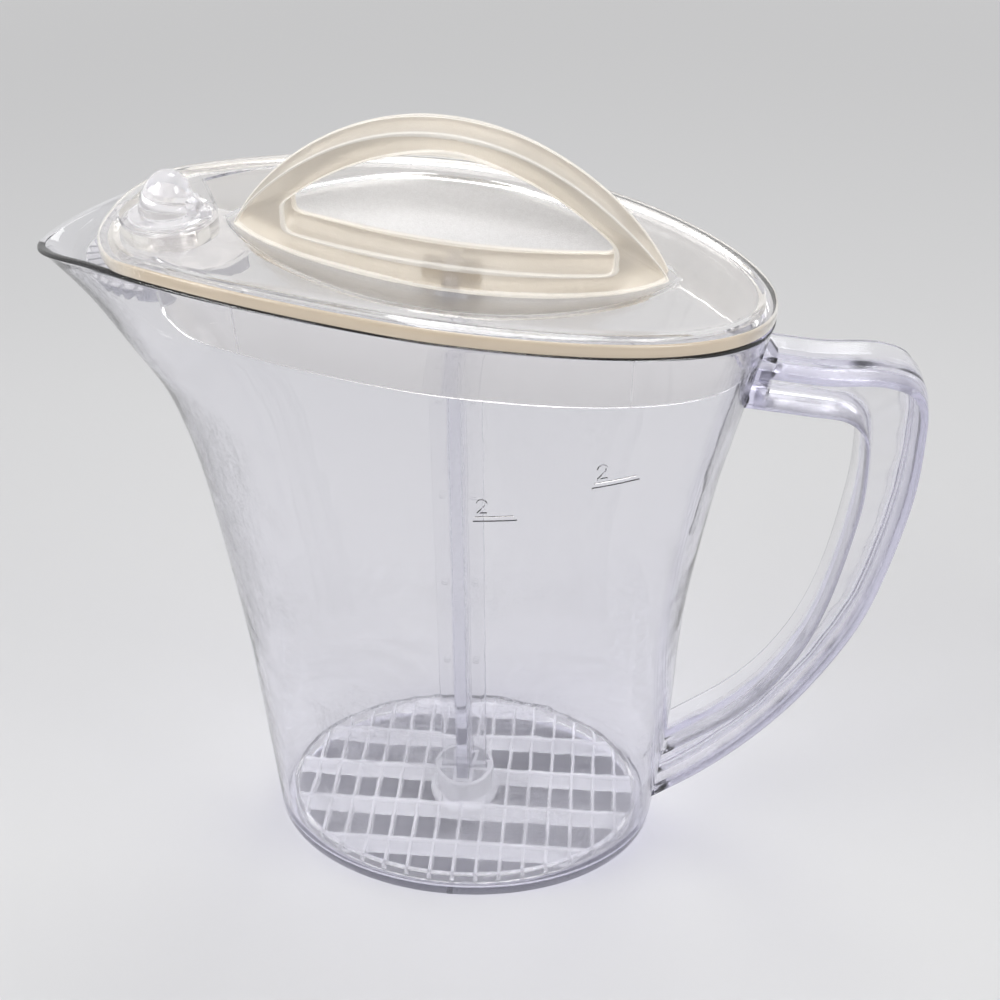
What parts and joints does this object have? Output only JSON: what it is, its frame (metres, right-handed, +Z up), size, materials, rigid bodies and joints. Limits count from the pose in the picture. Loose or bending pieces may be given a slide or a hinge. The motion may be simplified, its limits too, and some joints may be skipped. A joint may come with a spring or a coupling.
{
  "type": "stir pitcher",
  "caption": "Clear covered pitcher with a spout and a grip, a lid with a spout dial, and a frosted plunger handle that lifts a perforated mixing plate on a rod.",
  "frame": {"origin": "on the table, under the plunger rod's axis", "axes": "+X towards the grip, -X towards the spout, +Z up along the rod"},
  "size_m": [0.2643, 0.112, 0.2697],
  "materials": {
    "pitcher": "clear, glossy",
    "lid": "clear, glossy, frosted in the dish",
    "plunger_handle": "frosted cream",
    "plunger_rod": "clear, glossy",
    "mixing_plate": "clear, glossy",
    "pour_knob": "clear, glossy",
    "strainer": "clear, glossy"
  },
  "bodies": {
    "pitcher": {"pitcher": "pitcher"},
    "lid": {"lid": "lid"},
    "plunger": {"plunger_handle": "plunger_handle", "plunger_rod": "plunger_rod", "mixing_plate": "mixing_plate"},
    "dial": {"pour_knob": "pour_knob", "strainer": "strainer"}
  },
  "joints": [
    {"name": "lid_lift", "type": "slide", "parent": "pitcher", "child": "lid", "axis": [0, 0, 1], "range_m": [0, 0.25]},
    {"name": "plunger_slide", "type": "slide", "parent": "lid", "child": "plunger", "axis": [0, 0, 1], "range_m": [0, 0.175]},
    {"name": "dial_turn", "type": "hinge", "parent": "lid", "child": "dial", "pos_m": [-0.082, 0, 0.2397], "axis": [0, 0, 1], "range_deg": [-128, 138]}
  ]
}
